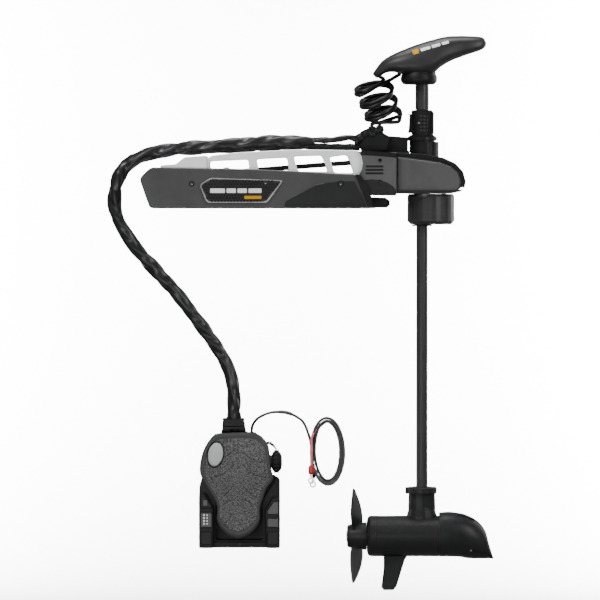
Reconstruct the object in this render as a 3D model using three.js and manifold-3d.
// Bow-mount electric trolling motor with a folding mount, a foot pedal and its cords.
// Millimetres, +X outboard, +Z up; the origin is the centre of the mount's deck face.
import * as THREE from "three";
import { mergeVertices } from "three/addons/utils/BufferGeometryUtils.js";
import Module from "manifold-3d";

const wasm = await Module();
wasm.setup();

// ---------- driving dimensions ----------
const GAP = 0.3; // clearance between neighbouring pieces

const SHAFT_X = 407; // axis of the vertical shaft
const SHAFT_R = 14.3; // 1 1/8 in composite tube
const SHAFT_BORE = 9.5;
const SHAFT_TOP = 338;
const UPPER_R = 16.8; // sleeve on the shaft between the depth collar and the head
const SHAFT_BOTTOM = -742;

const BASE_HALF = 80; // half width of the base channel
const BASE_WALL = 4;
const BASE_FLOOR = 4;
const PLATE_OUT = 88; // outer face of the plastic side plates
const RAISED = 2.5; // height of the badge and of the arc on the side plates

const FOLD = { x: -80, z: 77 }; // main pivot of the arms
const TILT = { x: 300, z: 93.5 }; // pivot between arms and steering housing
const LINK_LOW = { x: -80, z: 90 }; // tilt link's pivot on the base
const LINK_TOP = { x: 328.3, z: 121.8 }; // tilt link's pivot on the housing
const BOLT_R = 8; // fold bolts and tilt trunnions
const ARM_IN = 60;
const ARM_OUT = 67;
const LINK_LOW_R = 6;
const LINK_PIN_R = 6.5;
const LINK_EYE_R = 9.5; // open eye of the tilt link round the housing's pin

const HOUSING_HALF = 56;
const BAND = 11; // thickness of the black band round the housing's edge
const STEER_R = 20.5; // steering tube
const STEER_BORE = 21 + GAP;
const SHAFT_CLEAR = 14.8; // bore the shaft slides in
const TOWER_R = 31.5; // head of the steering tube
const GEAR_R = 34;
const GEAR_LOW = 62;
const GEAR_HIGH = 76;
const PINION_X = 460;
const PINION_R = 17.8;
const PINION_SHAFT_R = 5;
const CAN_X = 429;
const CAN_R = 58.5;
const CAN_BOTTOM = -39.5;
const CAN_TOP = 36.5;

const UNIT_Z = -817.5; // propeller axis
const UNIT_R = 51;
const UNIT_WALL = 5;
const BLADE_TIP = 127;
const BLADE_ROOT = 18;
const ROTOR_X = 247;
const ROTOR_R = 6; // motor shaft
const ROTOR_TURN = 8; // degrees the blades stand off the vertical

const PEDAL_X = -50;
const PEDAL_Z = -700;
const PEDAL_BACK = 40;
const AXLE_R = 5;
const AXLE_Y = 4;
const BUTTON_X = PEDAL_X - 57;
const BUTTON_Z = PEDAL_Z + 89;
const BUTTON_TILT = 10; // degrees
const KNOB_Y = -17;
const KNOB_Z = PEDAL_Z + 70;
const KNOB_TEETH = 16;
const PAD_FRONT = -36;
const CORD_WALL = 156; // top of the wall the cords enter by

const SLEEVE_R = 17;
const SLEEVE_X = PEDAL_X - 12;
const SLEEVE_Y = 14;
const LEAD_R = 3.8;
const HANK = { x: 173, z: -608 };
const TERMINAL_BORE_R = 4.2;

// ---------- materials ----------
function material(color, roughness, metalness) {
  return new THREE.MeshStandardMaterial({ color, roughness, metalness });
}
const BLACK = material(0x1d1d1f, 0.5, 0.05);
const SATIN = material(0x2d2e31, 0.42, 0.1);
const GREY = material(0x55575a, 0.45, 0.2);
const SILVER = material(0xb9bcc0, 0.34, 0.9);
const STEEL = material(0xa2a5a9, 0.3, 0.95);
const RUBBER = material(0x3a3b3d, 0.85, 0);
const BUTTON = material(0x9d9f9f, 0.55, 0);
const NYLON = material(0x111113, 0.3, 0);
const RED = material(0xb01818, 0.5, 0);
const COPPER = material(0xb87333, 0.4, 0.9);

// ---------- solids ----------
function solid(geometry) {
  const g = geometry.clone();
  g.deleteAttribute("normal");
  g.deleteAttribute("uv");
  const m = mergeVertices(g, 1e-4);
  return new wasm.Manifold(
    new wasm.Mesh({
      numProp: 3,
      vertProperties: m.attributes.position.array,
      triVerts: new Uint32Array(m.index.array),
    }),
  );
}

function join(...parts) {
  return parts.reduce((a, b) => a.add(b));
}

function cut(body, ...tools) {
  return tools.reduce((a, b) => a.subtract(b), body);
}

// The biggest separate body, without the offcuts.
function largest(body) {
  return body.decompose().sort((a, b) => b.volume() - a.volume())[0];
}

function outlineShape(points, radius = 0, steps = 3) {
  const shape = new THREE.Shape();
  const n = points.length;
  if (!radius) {
    points.forEach(([u, v], i) => (i ? shape.lineTo(u, v) : shape.moveTo(u, v)));
    shape.closePath();
    return shape;
  }
  const rounded = [];
  for (let i = 0; i < n; i++) {
    const p = new THREE.Vector2(...points[i]);
    const a = new THREE.Vector2(...points[(i + n - 1) % n]);
    const b = new THREE.Vector2(...points[(i + 1) % n]);
    const r = Math.min(radius, p.distanceTo(a) * 0.45, p.distanceTo(b) * 0.45);
    const from = p.clone().add(a.sub(p).setLength(r));
    const to = p.clone().add(b.sub(p).setLength(r));
    for (let k = 0; k <= steps; k++) {
      const t = k / steps;
      const q = from.clone().multiplyScalar((1 - t) * (1 - t));
      q.addScaledVector(p, 2 * t * (1 - t)).addScaledVector(to, t * t);
      rounded.push([q.x, q.y]);
    }
  }
  return outlineShape(rounded);
}

// Extrudes an outline; the turn maps (u, v, extrusion) onto the part's axes.
function prism(points, low, high, turn, { radius = 0, bevel = 0, steps = 3, bevelSteps = 1 } = {}) {
  const g = new THREE.ExtrudeGeometry(outlineShape(points, radius, steps), {
    depth: high - low - 2 * bevel,
    bevelEnabled: bevel > 0,
    bevelSize: bevel,
    bevelOffset: -bevel,
    bevelThickness: bevel,
    bevelSegments: bevelSteps,
    steps: 1,
  });
  g.translate(0, 0, low + bevel);
  g.applyMatrix4(turn);
  return solid(g);
}
const ALONG_Y = new THREE.Matrix4().makeRotationX(Math.PI / 2);
const ALONG_Z = new THREE.Matrix4();

// An (x, z) outline between two depths, and an (x, y) one between two heights.
const slabY = (points, low, high, options) => prism(points, -high, -low, ALONG_Y, options);
const slabZ = (points, low, high, options) => prism(points, low, high, ALONG_Z, options);

function rect(u0, u1, v0, v1) {
  return [
    [u0, v0],
    [u1, v0],
    [u1, v1],
    [u0, v1],
  ];
}

const block = (x0, x1, y0, y1, z0, z1) => slabZ(rect(x0, x1, y0, y1), z0, z1);

// Turned solid about a line along Z, X or Y; the profile is [radius, height] from bottom to top.
function turned(profile, segments, axis, at) {
  const g = new THREE.LatheGeometry(profile.map(([r, h]) => new THREE.Vector2(r, h)), segments);
  if (axis === "z") g.rotateX(Math.PI / 2);
  if (axis === "x") g.rotateZ(-Math.PI / 2);
  g.translate(...at);
  return solid(g);
}

function rod(radius, low, high, axis, at, segments = 20) {
  return turned([[0, low], [radius, low], [radius, high], [0, high]], segments, axis, at);
}

function tube(points, radius, steps, sides = 8) {
  const curve = new THREE.CatmullRomCurve3(points.map((p) => new THREE.Vector3(...p)), false, "centripetal");
  const section = new THREE.Shape();
  for (let k = 0; k < sides; k++) {
    const a = (2 * Math.PI * k) / sides;
    section[k ? "lineTo" : "moveTo"](radius * Math.cos(a), radius * Math.sin(a));
  }
  section.closePath();
  return solid(new THREE.ExtrudeGeometry(section, { steps, bevelEnabled: false, extrudePath: curve }));
}

const group = new THREE.Group();
group.name = "trolling_motor";

function add(name, made, look) {
  const mesh = made.getMesh();
  const g = new THREE.BufferGeometry();
  g.setAttribute("position", new THREE.BufferAttribute(mesh.vertProperties, 3));
  g.setIndex(new THREE.BufferAttribute(mesh.triVerts, 1));
  const node = new THREE.Mesh(g.toNonIndexed(), look);
  node.geometry.computeVertexNormals();
  node.name = name;
  group.add(node);
}

// ---------- mount ----------
const PLATE = [
  [-268, 0],
  [281, 0],
  [242, 84],
  [-4, 97],
  [-266, 102],
  [-294, 74],
];
const BADGE = [
  [-127, 14],
  [20, 14],
  [58, 70],
  [-119, 76],
  [-145, 59],
];

const ARC = [
  [68, 17],
  [143, 60],
  [208, 67],
  [238, 66],
  [262, 12],
  [180, 6],
  [72, 6],
];

function makeBase() {
  const wallTop = 88;
  const outer = slabY(
    [[-255, 0], [268, 0], [236, wallTop - 8], [-6, wallTop], [-255, wallTop]],
    -BASE_HALF,
    BASE_HALF,
  );
  const hollow = block(-400, 400, -BASE_HALF + BASE_WALL, BASE_HALF - BASE_WALL, BASE_FLOOR, 200);
  const bore = rod(BOLT_R + GAP, -120, 120, "y", [FOLD.x, 0, FOLD.z]);
  const slots = [-190, 190].map((x) => block(x - 28, x + 28, -9, 9, -1, BASE_FLOOR + 1));
  add("base_channel", cut(outer, hollow, bore, ...slots), SILVER);

  const sides = [
    ["front", -PLATE_OUT, -BASE_HALF - GAP],
    ["rear", BASE_HALF + GAP, PLATE_OUT],
  ];
  for (const [side, y0, y1] of sides) {
    const arcY = y0 < 0 ? [-PLATE_OUT - RAISED, -84] : [84, PLATE_OUT + RAISED];
    const arc = slabY(ARC, ...arcY, { radius: 8, bevel: 1 });
    const plate = slabY(PLATE, y0, y1, { radius: 10, bevel: 2 }).add(arc);
    add("side_plate_" + side, plate, SATIN);
  }
  const badge = slabY(BADGE, -PLATE_OUT - GAP - RAISED, -PLATE_OUT - GAP, { radius: 8, bevel: 0.8 });
  add("badge_plate", badge, GREY);
  const rest = slabY(
    [[284.5, 2], [318, 2], [326, 8], [326, 20], [315, 27], [273, 29]],
    -44,
    44,
    { bevel: 2.5 },
  );
  const foot = block(269.5, 290, -46, 46, 0.5, 6);
  add("motor_rest", join(rest, foot), BLACK);
}

function makeRails() {
  for (const [side, y0, y1] of [["front", -75.5, -70], ["rear", 70, 75.5]]) {
    const rail = slabY(
      [[-242, 60], [-128, 60], [-128, 131], [-182, 127], [-204, 110], [-242, 107]],
      y0,
      y1,
      { radius: 3, bevel: 1 },
    );
    add("guide_rail_" + side, rail, SILVER);
  }
}

// ---------- folding arm ----------
const ARM = [
  [-118, 60],
  [318, 66],
  [326, 94],
  [316, 118],
  [262, 122],
  [255, 138],
  [243, 144],
  [90, 146],
  [-60, 138],
  [-121, 130],
  [-138, 108],
  [-138, 84],
];

function makeArms() {
  const windows = [
    [[-122, 100], [-122, 118], [-26, 122], [-22, 98]],
    [[0, 95], [-6, 123], [70, 127], [76, 94]],
    [[98, 92], [87, 130], [157, 132], [172, 91]],
    [[188, 88], [176, 128], [220, 134], [237, 88]],
  ];
  for (const [side, y0, y1] of [["front", -ARM_OUT, -ARM_IN], ["rear", ARM_IN, ARM_OUT]]) {
    let arm = slabY(ARM, y0, y1, { radius: 10, bevel: 1.2 });
    for (const w of windows) arm = cut(arm, slabY(w, y0 - 5, y1 + 5, { radius: 6, steps: 2 }));
    arm = cut(
      arm,
      rod(BOLT_R + GAP, -120, 120, "y", [FOLD.x, 0, FOLD.z]),
      rod(BOLT_R + GAP, -120, 120, "y", [TILT.x, 0, TILT.z]),
    );
    add("arm_" + side, arm, SILVER);
    const s = side === "front" ? -1 : 1;
    const bolt = join(
      rod(BOLT_R, 56, BASE_HALF, "y", [0, 0, 0]),
      rod(13, 54, ARM_IN - GAP, "y", [0, 0, 0]),
    );
    const placed = bolt.rotate([0, 0, s < 0 ? 180 : 0]).translate([FOLD.x, 0, FOLD.z]);
    add("pivot_bolt_" + side, placed, STEEL);
  }
  const half = ARM_IN - GAP;
  add("cross_tube", rod(7, -half, half, "y", [82, 0, 136], 14), SILVER);
}

function makeLink() {
  const cheek = [
    [-106, 8],
    [-54, 8],
    [-68, 98],
    [-92, 98],
  ];
  const bracket = join(
    block(-112, -48, -19, 19, BASE_FLOOR + GAP, 11),
    slabY(cheek, -19, -14, { radius: 6 }),
    slabY(cheek, 14, 19, { radius: 6 }),
    rod(LINK_LOW_R, -22, 22, "y", [LINK_LOW.x, 0, LINK_LOW.z], 16),
  );
  add("link_bracket", bracket, STEEL);
  const dx = LINK_TOP.x - LINK_LOW.x;
  const dz = LINK_TOP.z - LINK_LOW.z;
  const length = Math.hypot(dx, dz);
  let link = join(
    slabY(rect(0, length, -6, 6), -6, 6, { bevel: 1.5 }),
    rod(13, -8, 8, "y", [0, 0, 0]),
    rod(15, -8, 8, "y", [length, 0, 0]),
  );
  link = cut(
    link,
    rod(LINK_LOW_R + GAP, -20, 20, "y", [0, 0, 0], 16),
    rod(LINK_EYE_R, -20, 20, "y", [length, 0, 0], 20),
  );
  link = link.rotate([0, (-Math.atan2(dz, dx) * 180) / Math.PI, 0]);
  add("tilt_link", link.translate([LINK_LOW.x, 0, LINK_LOW.z]), BLACK);
}

// ---------- steering housing ----------
const HOUSING_EDGE = [
  [342, 37],
  [476, 37],
  [500, 41],
  [511, 52],
  [514, 68],
  [507, 92],
  [488, 112],
  [458, 126],
  [410, 135],
  [342, 139],
];

// The housing's side outline, moved in by a distance.
function housingOutline(inset) {
  const centre = new THREE.Vector2(420, 90);
  return HOUSING_EDGE.map(([x, z], k) => {
    const left = x === 342;
    const low = k < 3;
    const out = new THREE.Vector2(x, z).sub(centre).normalize();
    return [left ? x : x - out.x * inset, low ? z : z - Math.abs(out.y + 0.25) * inset];
  });
}

function makeHousing() {
  const body = slabY(housingOutline(BAND + GAP), -HOUSING_HALF, HOUSING_HALF, { bevel: 5 });
  const earSide = [
    [360, 50],
    [360, 130],
    [340, 132],
    [312, 132],
    [282, 112],
    [282, 76],
    [300, 68],
    [342, 50],
  ];
  const ears = [-48, 38].map((y) => slabY(earSide, y, y + 10, { radius: 8 }));
  const trunnions = [[-69.5, -38], [38, 69.5]].map(([y0, y1]) =>
    rod(BOLT_R, y0, y1, "y", [TILT.x, 0, TILT.z]),
  );
  const pocket = block(349, 497, -44, 44, 51, 118);
  const drop = rod(STEER_BORE, 30, 150, "z", [SHAFT_X, 0, 0], 28);
  const pinBores = [
    rod(LINK_PIN_R + GAP, -90, 90, "y", [LINK_TOP.x, 0, LINK_TOP.z], 16),
    rod(PINION_SHAFT_R + GAP, 30, 60, "z", [PINION_X, 0, 0], 12),
  ];
  const slot = block(338, 355, -10, 10, 55, 145);
  const made = cut(join(cut(body, pocket), ...ears, ...trunnions), drop, ...pinBores, slot);
  add("steering_housing", largest(made), GREY);

  const band = cut(
    slabY(housingOutline(0), -HOUSING_HALF + 2, HOUSING_HALF - 2, { bevel: 1.5 }),
    slabY(housingOutline(BAND), -80, 80),
    block(300, 560, -80, 80, 0, 52),
    rod(STEER_BORE, 100, 160, "z", [SHAFT_X, 0, 0], 28),
    block(338, 362, -50, 50, 120, 150),
  );
  const cowl = cut(
    rod(36.5, 120, 166, "z", [SHAFT_X + 5, 0, 0], 36),
    slabY(housingOutline(1), -80, 80),
    rod(TOWER_R + GAP, 100, 180, "z", [SHAFT_X, 0, 0], 32),
  );
  add("top_band", join(band, cowl), BLACK);

  for (const [side, s] of [["front", -1], ["rear", 1]]) {
    let cover = slabY(
      [
        [262, 66],
        [274, 33],
        [341.5, 32],
        [341.5, 138],
        [247, 141],
        [255, 129],
        [258, 112],
        [256, 97],
        [249, 84],
      ],
      s < 0 ? -78 : 71,
      s < 0 ? -71 : 78,
      { bevel: 1.5 },
    );
    cover = join(cover, block(305, 341, s < 0 ? -73 : 40, s < 0 ? -40 : 73, 132.5, 137.5));
    add("side_cover_" + side, cover, SATIN);
  }
  add("link_pin", rod(LINK_PIN_R, -50, 50, "y", [LINK_TOP.x, 0, LINK_TOP.z], 16), STEEL);

  const canProfile = [
    [0, CAN_BOTTOM],
    [CAN_R - 8, CAN_BOTTOM],
    [CAN_R, CAN_BOTTOM + 8],
    [CAN_R, CAN_TOP - 6.5],
    [CAN_R - 3, CAN_TOP],
    [0, CAN_TOP],
  ];
  const can = cut(
    turned(canProfile, 32, "z", [CAN_X, 0, 0]),
    rod(STEER_BORE, -60, 60, "z", [SHAFT_X, 0, 0], 28),
    rod(PINION_SHAFT_R + GAP, 10, 60, "z", [PINION_X, 0, 0], 12),
  );
  add("steering_motor_can", can, SATIN);
  const bushProfile = [
    [15, -44],
    [25, -44],
    [25, CAN_BOTTOM - GAP - 0.1],
    [20.6, CAN_BOTTOM - GAP - 0.1],
    [20.6, -22],
    [17.9, -22],
    [15, -22],
    [15, -44],
  ];
  add("lower_bush", turned(bushProfile, 28, "z", [SHAFT_X, 0, 0]), BLACK);
}

function makeSteering() {
  const profile = [
    [SHAFT_CLEAR, -20],
    [STEER_R, -20],
    [STEER_R, GEAR_LOW],
    [GEAR_R, GEAR_LOW],
    [GEAR_R, GEAR_HIGH],
    [STEER_R, GEAR_HIGH],
    [STEER_R, 140.5],
    [TOWER_R, 140.5],
    [TOWER_R, 168.5],
    [SHAFT_CLEAR, 168.5],
    [SHAFT_CLEAR, -20],
  ];
  add("steering_tube", turned(profile, 28, "z", [SHAFT_X, 0, 0]), BLACK);
  const pinion = join(
    rod(PINION_R, GEAR_LOW, GEAR_HIGH, "z", [PINION_X, 0, 0], 20),
    rod(PINION_SHAFT_R, 16, 90, "z", [PINION_X, 0, 0], 12),
  );
  add("steering_pinion", pinion, STEEL);

  const ribs = [];
  for (let k = 0; k < 9; k++) {
    const a = -1.2 + k * 0.3;
    ribs.push(
      rod(2.2, 186, 240, "z", [SHAFT_X + 27.5 * Math.cos(a), 27.5 * Math.sin(a), 0], 6),
    );
  }
  const collarProfile = [
    [0, 169],
    [37, 169],
    [37, 177],
    [30, 182],
    [27.5, 184],
    [27.5, 240],
    [24, 245],
    [0, 245],
  ];
  const collar = cut(
    join(turned(collarProfile, 28, "z", [SHAFT_X, 0, 0]), ...ribs),
    block(SHAFT_X - 40, SHAFT_X - 24, -8.4, 8.4, 183.5, 238),
    rod(SHAFT_CLEAR, 150, 260, "z", [SHAFT_X, 0, 0], 28),
  );
  add("depth_collar", collar, BLACK);
  add(
    "collar_latch",
    slabY(
      [[SHAFT_X - 34, 188], [SHAFT_X - 24.5, 188], [SHAFT_X - 24.5, 232], [SHAFT_X - 31, 236]],
      -8,
      8,
      { bevel: 1 },
    ),
    SATIN,
  );
}

function makeBridge() {
  const bridge = join(
    slabY([[300, 141.5], [372, 141.5], [372, 177], [318, 181]], -16, 16, { bevel: 1 }),
    slabY([[250, 156], [257, 142], [320, 141.5], [330, 176], [300, 194], [266, 190]], -34, 34, { bevel: 4 }),
    block(330, 352, -13, 13, 139.6, 150),
    rod(9, 180, 204, "z", [282, -16, 0], 12),
    rod(9, 180, 206, "z", [302, 16, 0], 12),
  );
  add("cable_bridge", cut(bridge, rod(39, 140, 190, "z", [SHAFT_X, 0, 0], 32)), BLACK);
}

// ---------- head ----------
const HEAD_SIDE = [
  [286, 333],
  [308, 366],
  [347, 391],
  [390, 413],
  [478, 429],
  [553, 429],
  [565, 420],
  [567, 405],
  [556, 392],
  [514, 379],
  [476, 365],
  [440, 339],
  [433, 330],
  [360, 334],
  [312, 330],
];
const HEAD_PLAN = [
  [280, -22],
  [300, -40],
  [360, -54],
  [440, -52],
  [520, -36],
  [572, -24],
  [572, 24],
  [520, 36],
  [440, 52],
  [360, 54],
  [300, 40],
  [280, 22],
];

function makeHead() {
  const whole = slabY(HEAD_SIDE, -55, 55, { bevel: 6, bevelSteps: 2 }).intersect(
    slabZ(HEAD_PLAN, 300, 450, { radius: 16 }),
  );
  const seam = [[260, 345], [345, 372], [430, 398], [600, 402], [600, 500], [260, 500]];
  const lowCut = [[260, 344.4], [345, 371.4], [430, 397.4], [600, 401.4], [600, 200], [260, 200]];
  const cavity = block(356, 446, -26, 26, 341, 362);
  const bore = rod(UPPER_R + GAP, 200, 345, "z", [SHAFT_X, 0, 0], 28);
  const collarProfile = [
    [0, 309],
    [39, 309],
    [44, 314],
    [45.5, 324],
    [42, SHAFT_TOP],
    [0, SHAFT_TOP],
  ];
  const collar = turned(collarProfile, 32, "z", [SHAFT_X, 0, 0]);
  const lower = largest(whole.intersect(slabY(lowCut, -80, 80)));
  add("head_shell", cut(join(lower, collar), cavity, bore), BLACK);
  add("head_cover", largest(whole.intersect(slabY(seam, -80, 80))), SATIN);
}

// ---------- shaft and lower unit ----------
function makeShaft() {
  add(
    "shaft",
    turned(
      [
        [SHAFT_BORE, SHAFT_BOTTOM],
        [SHAFT_R, SHAFT_BOTTOM],
        [SHAFT_R, 246],
        [UPPER_R, 246],
        [UPPER_R, SHAFT_TOP],
        [SHAFT_BORE, SHAFT_TOP],
        [SHAFT_BORE, SHAFT_BOTTOM],
      ],
      28,
      "z",
      [SHAFT_X, 0, 0],
    ),
    SATIN,
  );
  const clampProfile = [
    [0, -711],
    [36, -711],
    [37.5, -709],
    [37.5, -697],
    [36, -695.5],
    [0, -695.5],
  ];
  const clamp = cut(
    join(
      turned(clampProfile, 28, "z", [SHAFT_X, 0, 0]),
      block(SHAFT_X - 41, SHAFT_X - 30, -12, 12, -711, -696),
    ),
    rod(SHAFT_R + GAP, -720, -690, "z", [SHAFT_X, 0, 0], 28),
  );
  add("lower_clamp", clamp, BLACK);
}

function makeLowerUnit() {
  const neck = turned([[0, -800], [34, -800], [34, -740], [33, -711.5], [0, -711.5]], 28, "z", [0, 0, 0])
    .scale([1, 0.72, 1])
    .translate([SHAFT_X, 0, 0]);
  const flareProfile = [
    [0, -800],
    [43, -800],
    [38, -768],
    [34, -752],
    [32, -740],
    [0, -740],
  ];
  const flare = turned(flareProfile, 28, "z", [0, 0, 0]).scale([1, 0.75, 1]).translate([SHAFT_X, 0, 0]);
  const motor = turned([[0, 290], [UNIT_R, 290], [UNIT_R, 450], [0, 450]], 40, "x", [0, 0, UNIT_Z]);
  const insideProfile = [
    [0, 280],
    [UNIT_R - UNIT_WALL, 280],
    [UNIT_R - UNIT_WALL, 438],
    [9, 438],
    [9, 444],
    [0, 444],
  ];
  const inside = turned(insideProfile, 32, "x", [0, 0, UNIT_Z]);
  const shaftBore = rod(SHAFT_R + GAP, SHAFT_BOTTOM - 2, -700, "z", [SHAFT_X, 0, 0], 28);
  const wireBore = rod(8, -790, -735, "z", [SHAFT_X, 0, 0], 12);
  add("motor_case", cut(join(neck, flare, motor), inside, shaftBore, wireBore), SATIN);

  const noseSide = [
    [450.4, -868.5],
    [450.4, -757],
    [488, -757],
    [520, -766],
    [548, -781],
    [566, -804],
    [575, -836],
    [586, -874],
    [513, -874],
    [513, -868.5],
  ];
  const noseProfile = [
    [0, 450.4],
    [UNIT_R + 0.5, 450.4],
    [60, 466],
    [61, 488],
    [58, 530],
    [50, 560],
    [36, 580],
    [30, 588],
    [0, 588],
  ];
  const nose = slabY(noseSide, -62, 62).intersect(turned(noseProfile, 40, "x", [0, 0, UNIT_Z]));
  const footPlan = [
    [513, -20],
    [560, -22],
    [586, -12],
    [586, 12],
    [560, 22],
    [513, 20],
  ];
  add("nose_cone", join(nose, slabZ(footPlan, -874, -840, { radius: 6 })), BLACK);

  const bellProfile = [
    [ROTOR_R + 0.5, 270],
    [40, 270],
    [UNIT_R - 3, 273],
    [UNIT_R, 278],
    [UNIT_R, 290 - GAP],
    [UNIT_R - 7, 290 - GAP],
    [ROTOR_R + 0.5, 290 - GAP],
    [ROTOR_R + 0.5, 270],
  ];
  add("end_bell", turned(bellProfile, 40, "x", [0, 0, UNIT_Z]), BLACK);
  const skegSide = [
    [312, -866],
    [370, -866],
    [366, -874],
    [344, -944],
    [336, -953],
    [312, -953],
    [306, -946],
    [312, -900],
  ];
  const skeg = slabY(skegSide, -3.5, 3.5, { bevel: 1.5 });
  const saddle = rod(UNIT_R + GAP, 200, 500, "x", [0, 0, UNIT_Z], 40);
  add("skeg", cut(join(skeg, block(312, 369, -9, 9, -872, -866)), saddle), SATIN);

  add(
    "armature",
    turned(
      [
        [0, 218],
        [ROTOR_R, 218],
        [ROTOR_R, 304],
        [30, 304],
        [30, 405],
        [18, 408],
        [18, 430],
        [ROTOR_R, 430],
        [ROTOR_R, 443],
        [0, 443],
      ],
      24,
      "x",
      [0, 0, UNIT_Z],
    ),
    COPPER,
  );
}

// One closed blade: quads between sections that run from root to tip.
function blade() {
  const sections = 7;
  const around = 8;
  const positions = [];
  const index = [];
  for (let s = 0; s < sections; s++) {
    const t = s / (sections - 1);
    const r = BLADE_ROOT + (BLADE_TIP - BLADE_ROOT) * t;
    const chord = 40 + 46 * Math.sin(Math.PI * Math.min(1, t * 0.92 + 0.08)) - 14 * t;
    const thick = 7 - 4.5 * t;
    const pitch = ((27 - 15 * t) * Math.PI) / 180;
    const sweep = -26 * t * t;
    for (let k = 0; k < around; k++) {
      const a = (2 * Math.PI * k) / around;
      const u = (chord / 2) * Math.cos(a) + sweep;
      const w = (thick / 2) * Math.sin(a);
      const x = u * Math.sin(pitch) + w * Math.cos(pitch);
      const y = u * Math.cos(pitch) - w * Math.sin(pitch);
      positions.push(x - 6 * t, y, r);
    }
  }
  for (let s = 0; s + 1 < sections; s++) {
    for (let k = 0; k < around; k++) {
      const a = s * around + k;
      const b = s * around + ((k + 1) % around);
      index.push(a, a + around, b, b, a + around, b + around);
    }
  }
  for (let k = 1; k + 1 < around; k++) {
    index.push(0, k, k + 1);
    const top = (sections - 1) * around;
    index.push(top, top + k + 1, top + k);
  }
  return new wasm.Manifold(
    new wasm.Mesh({
      numProp: 3,
      vertProperties: new Float32Array(positions),
      triVerts: new Uint32Array(index),
    }),
  );
}

function makePropeller() {
  const one = blade();
  const hubProfile = [
    [0, 221],
    [25, 221],
    [29, 226],
    [31, 238],
    [34, 252],
    [34.5, 269],
    [0, 269],
  ];
  const hub = turned(hubProfile, 28, "x", [0, 0, 0]);
  const blades = [0, 180].map((a) => one.rotate([a, 0, 0]).translate([ROTOR_X, 0, 0]));
  const bore = rod(ROTOR_R + GAP, 180, 300, "x", [0, 0, 0], 24);
  const recess = rod(14, 210, 226, "x", [0, 0, 0], 24);
  const whole = cut(join(hub, ...blades), bore, recess);
  add("propeller", whole.rotate([ROTOR_TURN, 0, 0]).translate([0, 0, UNIT_Z]), BLACK);
  const nut = cut(
    rod(12, 218.5, 225.7, "x", [0, 0, UNIT_Z], 6),
    rod(ROTOR_R + GAP, 200, 230, "x", [0, 0, UNIT_Z], 24),
  );
  add("propeller_nut", nut, STEEL);
}

// ---------- foot pedal ----------
const at = (points, dx = PEDAL_X, dz = PEDAL_Z) => points.map(([u, v]) => [u + dx, v + dz]);
const PAD = [
  [-58, 140],
  [-71, 127],
  [-86, 102],
  [-95, 70],
  [-96, 44],
  [-86, 20],
  [-58, -28],
  [-53, -46],
  [-53, -78],
  [-34, -106],
  [-2, -120],
  [32, -106],
  [52, -78],
  [54, -46],
  [70, 3],
  [86, 28],
  [83, 47],
  [79, 70],
  [75, 107],
  [64, 127],
  [56, 135],
  [40, 142],
  [-40, 142],
];
const KEY_ROWS = {
  left: [[-13, -50], [-53, -98], [-101, -142]],
  right: [[-26, -66], [-67, -98], [-101, -142]],
};

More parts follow.
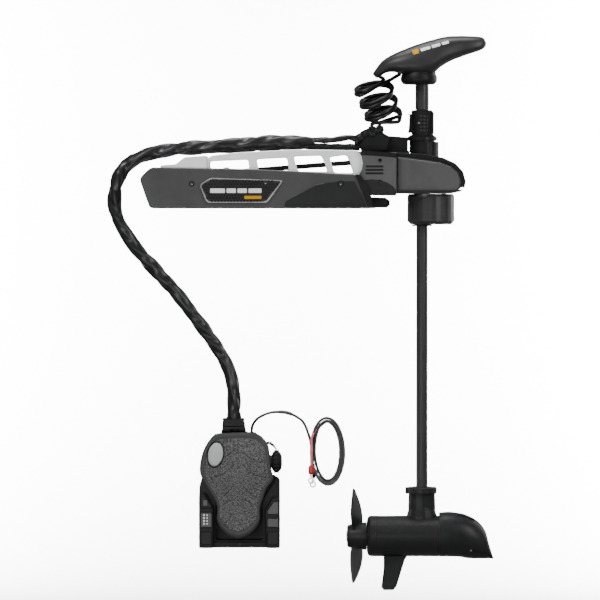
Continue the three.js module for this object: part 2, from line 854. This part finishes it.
function makePedal() {
  const tray = slabY(
    at([[-99, 8], [-99, -146], [103, -146], [103, 24], [88, 34], [-90, 34]]),
    -4,
    PEDAL_BACK,
    { radius: 8, bevel: 3 },
  );
  const well = slabY(
    at([[-80, 60], [-80, 10], [-58, -28], [-58, -128], [60, -128], [60, -28], [92, 20], [92, 60]]),
    -30,
    PEDAL_BACK - 5,
    { radius: 6 },
  );
  const back = slabY(
    at([
      [-88, 0],
      [-88, 50],
      [-72, 118],
      [-46, 128],
      [-41, CORD_WALL],
      [16, CORD_WALL],
      [18, 140],
      [44, 140],
      [48, 128],
      [62, 118],
      [72, 50],
      [72, 0],
    ]),
    PEDAL_BACK - 12,
    PEDAL_BACK,
    { radius: 6 },
  );
  const wallTop = PEDAL_Z + CORD_WALL;
  const cordWall = block(PEDAL_X - 41, PEDAL_X + 16, -8, PEDAL_BACK - 1, wallTop - 6, wallTop);
  const pods = [
    [[-99, -10], [-99, -146], [-62, -146], [-62, -46], [-84, -8]],
    [[103, -20], [103, -146], [68, -146], [64, -52], [84, -18]],
  ].map((outline) => slabY(at(outline), -26, 8, { radius: 5, bevel: 3 }));
  const bar = slabY(at(rect(-64, 70, -146, -131)), -12, 8, { bevel: 2 });
  const ears = [-58, 58].map((u) => slabY(at(rect(u - 4, u + 4, -12, 12)), -12, PEDAL_BACK - 4));
  const axle = rod(AXLE_R, -62, 62, "x", [PEDAL_X, AXLE_Y, PEDAL_Z], 16);
  let base = join(cut(tray, well), cut(back, well), cordWall, ...pods, bar, ...ears, axle);
  for (const [side, outer, inner] of [["left", -95, -66], ["right", 100, 71]]) {
    KEY_ROWS[side].forEach(([high, low], k) => {
      const s = Math.sign(outer);
      const slant = k ? 2 : 15;
      const ring = (e) => [
        [outer - s * e, low + 4 + e],
        [outer - s * e, high - 4 - e],
        [inner + s * (slant + e), high - 4 - e],
        [inner + s * e, high - 4 - slant * 1.5 - e],
        [inner + s * e, low + 4 + e],
      ];
      base = cut(base, slabY(at(ring(0)), -40, -14));
      add(
        "key_" + side + "_" + (k + 1),
        slabY(at(ring(1)), -29.5, -18, { bevel: 1.2 }),
        k === 2 ? BLACK : SATIN,
      );
    });
  }
  base = cut(
    base,
    rod(SLEEVE_R + GAP, PEDAL_Z + 140, PEDAL_Z + 160, "z", [SLEEVE_X, SLEEVE_Y, 0], 20),
    rod(LEAD_R + 1, PEDAL_Z + 125, PEDAL_Z + 160, "z", [PEDAL_X + 32, 34, 0], 12),
  );
  add("pedal_base", largest(base), SATIN);

  const hole = rod(1, -60, 0, "y", [0, 0, 0], 24)
    .scale([20, 1, 31.5])
    .rotate([0, BUTTON_TILT, 0])
    .translate([BUTTON_X + 0.5, 0, BUTTON_Z]);
  const frame = join(
    slabY(at(PAD), PAD_FRONT + 8.3, PAD_FRONT + 15, { radius: 6, bevel: 1.5 }),
    ...[-46, 46].map((u) => slabY(at(rect(u - 4, u + 4, -22, 22)), PAD_FRONT + 12, 12)),
    rod(10, -2, 4.6, "x", [PEDAL_X + 77, KNOB_Y, KNOB_Z], 16),
  );
  const axleBore = rod(AXLE_R + GAP, -80, 80, "x", [PEDAL_X, AXLE_Y, PEDAL_Z], 16);
  const buttonWell = rod(1, -60, 0, "y", [0, 0, 0], 20).scale([13, 1, 24]).translate([BUTTON_X, 0, BUTTON_Z]);
  add("pad_frame", cut(frame, axleBore, buttonWell), BLACK);
  const inset = PAD.map(([u, v]) => [u * 0.965, v * 0.975]);
  const rubber = slabY(at(inset), PAD_FRONT, PAD_FRONT + 8, { radius: 6, bevel: 2 });
  add("pad_rubber", cut(rubber, hole), RUBBER);
  const cap = turned([[0, 0], [17, 0], [18.5, 2], [18.5, 8], [0, 8]], 24, "y", [0, 0, 0]);
  const stem = rod(1, 7, 18, "y", [0, 0, 0], 16).scale([9, 1, 15]);
  const button = join(cap.scale([1, 1, 1.6]).rotate([0, BUTTON_TILT, 0]), stem);
  add("momentary_button", button.translate([BUTTON_X, PAD_FRONT - 4, BUTTON_Z]), BUTTON);

  const teeth = [];
  for (let k = 0; k < KNOB_TEETH; k++) {
    const a = (2 * Math.PI * k) / KNOB_TEETH;
    teeth.push(rod(2.4, 88, 101, "x", [0, 26 * Math.cos(a), 26 * Math.sin(a)], 6));
  }
  const knobProfile = [
    [0, 82],
    [16, 82],
    [23, 85],
    [26, 90],
    [26, 99],
    [22, 105],
    [14, 108],
    [0, 109],
  ];
  const knob = join(turned(knobProfile, 32, "x", [0, 0, 0]), ...teeth);
  add("speed_knob", knob.translate([PEDAL_X, KNOB_Y, KNOB_Z]), BLACK);
  const relief = slabY(
    at([[-41, CORD_WALL + GAP], [16, CORD_WALL + GAP], [13, CORD_WALL + 20], [-39.5, CORD_WALL + 20]]),
    -8,
    36,
    { bevel: 2 },
  );
  const sleeveBore = rod(SLEEVE_R + GAP, PEDAL_Z + 100, PEDAL_Z + 200, "z", [SLEEVE_X, SLEEVE_Y, 0], 20);
  add("strain_relief", cut(relief, sleeveBore), BLACK);
}

// ---------- cords ----------
function makeCords() {
  const route = [
    [249, 0, 164.5],
    [190, 0, 164.5],
    [115, 0, 164],
    [40, 0, 163],
    [-35, 0, 159],
    [-110, 0, 154],
    [-185, 0, 150],
    [-240, 0, 143],
    [-290, 0, 130],
    [-328, 0, 108],
    [-350, 0, 75],
    [-358, 2, 40],
    [-359, 4, 5],
    [-350, 6, -28],
    [-330, 8, -64],
    [-305, 10, -100],
    [-250, 12, -162],
    [-202, 13, -215],
    [-160, 14, -270],
    [-126, 14, -316],
    [-100, 14, -354],
    [-80, 14, -390],
    [-68, 14, -424],
    [-62.5, 14, -462],
    [-62, 14, -500],
    [SLEEVE_X, SLEEVE_Y, PEDAL_Z + CORD_WALL - 5],
  ];
  add("cable_sleeve", tube(route, SLEEVE_R - 0.5, 72, 10), NYLON);

  const coil = turned([[38, -62], [49, -62], [49, 62], [38, 62], [38, -62]], 20, "z", [0, 0, 0]);
  add("coil_cord", coil.rotate([0, 8, 0]).translate([298, 0, 266]), NYLON);

  const lead = [
    [-18, 34, -566],
    [-18, 34, -553],
    [-15, 30, -541],
    [-6, 22, -528],
    [8, 15, -518],
    [30, 8, -509.5],
    [53, 3, -507.5],
    [75, 0, -509],
    [96, 0, -518],
    [114, 0, -531],
    [122, 0, -545],
  ];
  add("power_lead", tube(lead, LEAD_R, 30, 8), NYLON);

  // Two half ellipses, 88 mm apart, joined by straight sides.
  const oval = (halfWidth, end) =>
    Array.from({ length: 20 }, (_, k) => {
      const a = (2 * Math.PI * k) / 20;
      const apart = Math.sign(Math.sin(a)) * 44;
      return [HANK.x + halfWidth * Math.cos(a), HANK.z + end * Math.sin(a) + apart];
    });
  add("lead_hank", cut(slabY(oval(44, 41), -9, 9), slabY(oval(32, 30), -20, 20)), NYLON);
}

function makeTerminals() {
  for (const [name, x, z, look] of [["red", 129, -640, RED], ["black", 133, -652, NYLON]]) {
    const y = name === "red" ? -18 : 18;
    const top = name === "red" ? -548 : -560;
    add("lead_" + name, rod(3.3, z + 0.3, top, "z", [x + 2, y, 0], 8), look);
    const bootProfile = [
      [0, z - 22],
      [6, z - 22],
      [8, z - 16],
      [8, z - 4],
      [4.5, z],
      [0, z],
    ];
    add("boot_" + name, turned(bootProfile, 14, "z", [x + 2, y, 0]), look);
    const ring = cut(
      join(
        rod(8.5, y - 1, y + 1, "y", [x + 2, 0, z - 38], 20),
        block(x - 1, x + 5, y - 1, y + 1, z - 33, z - 22.3),
      ),
      rod(TERMINAL_BORE_R, y - 5, y + 5, "y", [x + 2, 0, z - 38], 16),
    );
    add("terminal_" + name, ring, COPPER);
  }
}

makeBase();
makeRails();
makeArms();
makeLink();
makeHousing();
makeSteering();
makeBridge();
makeHead();
makeShaft();
makeLowerUnit();
makePropeller();
makePedal();
makeCords();
makeTerminals();

export default group;
